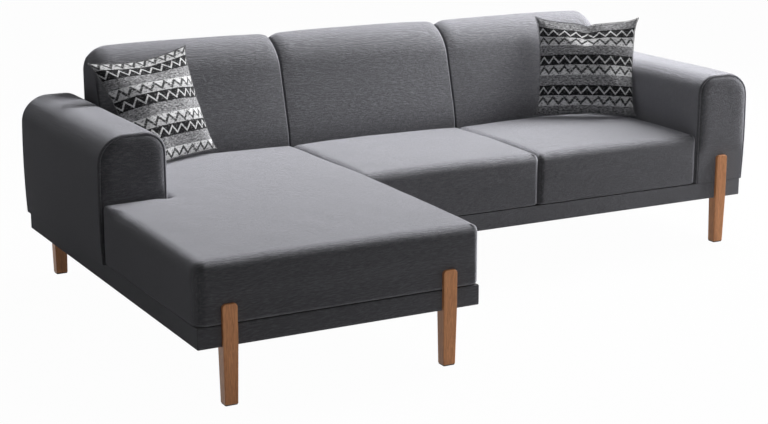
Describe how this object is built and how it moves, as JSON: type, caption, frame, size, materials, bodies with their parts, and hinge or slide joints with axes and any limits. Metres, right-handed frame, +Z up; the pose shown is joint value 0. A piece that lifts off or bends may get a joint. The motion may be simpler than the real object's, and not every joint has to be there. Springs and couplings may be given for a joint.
{
  "type": "corner sofa",
  "caption": "Upholstered corner sofa with a chaise on one side, rounded arms, loose seat cushions, scatter cushions and tapered wooden legs that lap over the plinth.",
  "frame": {"origin": "on the floor, under the middle of the outer box", "axes": "+X along the back to the right as seen from the front, +Y to the rear, +Z up"},
  "size_m": [2.744, 1.67, 0.8686],
  "materials": {
    "upholstery": "matte",
    "striped_cloth": "matte",
    "padding": "matte",
    "lining_cloth": "matte",
    "leg_wood": "satin",
    "frame_wood": "matte",
    "spring_steel": "satin",
    "fastener_steel": "satin",
    "insert_brass": "satin",
    "glide_plastic": "matte"
  },
  "bodies": {
    "frame": {"back_webbing": "lining_cloth", "chaise_deck_cloth": "lining_cloth", "chaise_dust_cover": "lining_cloth", "chaise_front_rail": "frame_wood", "chaise_inner_rails": "frame_wood", "chaise_plinth_band": "upholstery", "chaise_rear_rail": "frame_wood", "chaise_side_rails": "frame_wood", "chaise_springs": "spring_steel", "corner_blocks": "frame_wood", "glides": "glide_plastic", "left_arm_cover": "upholstery", "left_arm_padding": "padding", "left_arm_ribs": "frame_wood", "left_arm_stretchers": "frame_wood", "left_back_cover": "upholstery", "left_back_foam": "padding", "left_back_frame": "frame_wood", "leg_bolts": "fastener_steel", "leg_chaise_front_left": "leg_wood", "leg_chaise_front_right": "leg_wood", "leg_chaise_rear_left": "leg_wood", "leg_chaise_rear_right": "leg_wood", "leg_inserts": "insert_brass", "leg_sofa_front_right": "leg_wood", "leg_sofa_rear_left": "leg_wood", "leg_sofa_rear_right": "leg_wood", "leg_sofa_support": "leg_wood", "middle_back_cover": "upholstery", "middle_back_foam": "padding", "middle_back_frame": "frame_wood", "module_bolts": "fastener_steel", "module_nuts": "fastener_steel", "right_arm_cover": "upholstery", "right_arm_padding": "padding", "right_arm_ribs": "frame_wood", "right_arm_stretchers": "frame_wood", "right_back_cover": "upholstery", "right_back_foam": "padding", "right_back_frame": "frame_wood", "sofa_deck_cloth": "lining_cloth", "sofa_dust_cover": "lining_cloth", "sofa_front_rail": "frame_wood", "sofa_inner_rails": "frame_wood", "sofa_plinth_band": "upholstery", "sofa_rear_rail": "frame_wood", "sofa_side_rails": "frame_wood", "sofa_springs": "spring_steel", "spring_clips": "spring_steel"},
    "chaise_seat": {"chaise_seat_cover": "upholstery", "chaise_seat_foam": "padding"},
    "middle_seat": {"middle_seat_cover": "upholstery", "middle_seat_foam": "padding"},
    "right_seat": {"right_seat_cover": "upholstery", "right_seat_foam": "padding"},
    "left_scatter_cushion": {"left_scatter_cover": "striped_cloth", "left_scatter_filling": "padding"},
    "right_scatter_cushion": {"right_scatter_cover": "striped_cloth", "right_scatter_filling": "padding"}
  },
  "joints": [
    {"name": "chaise_seat_lift", "type": "slide", "parent": "frame", "child": "chaise_seat", "axis": [0, 0, 1], "range_m": [0, 0.65]},
    {"name": "middle_seat_lift", "type": "slide", "parent": "frame", "child": "middle_seat", "axis": [0, 0, 1], "range_m": [0, 0.65]},
    {"name": "right_seat_lift", "type": "slide", "parent": "frame", "child": "right_seat", "axis": [0, 0, 1], "range_m": [0, 0.65]},
    {"name": "left_scatter_lift", "type": "slide", "parent": "chaise_seat", "child": "left_scatter_cushion", "axis": [0, 0, 1], "range_m": [0, 0.45]},
    {"name": "right_scatter_lift", "type": "slide", "parent": "right_seat", "child": "right_scatter_cushion", "axis": [0, 0, 1], "range_m": [0, 0.45]}
  ]
}
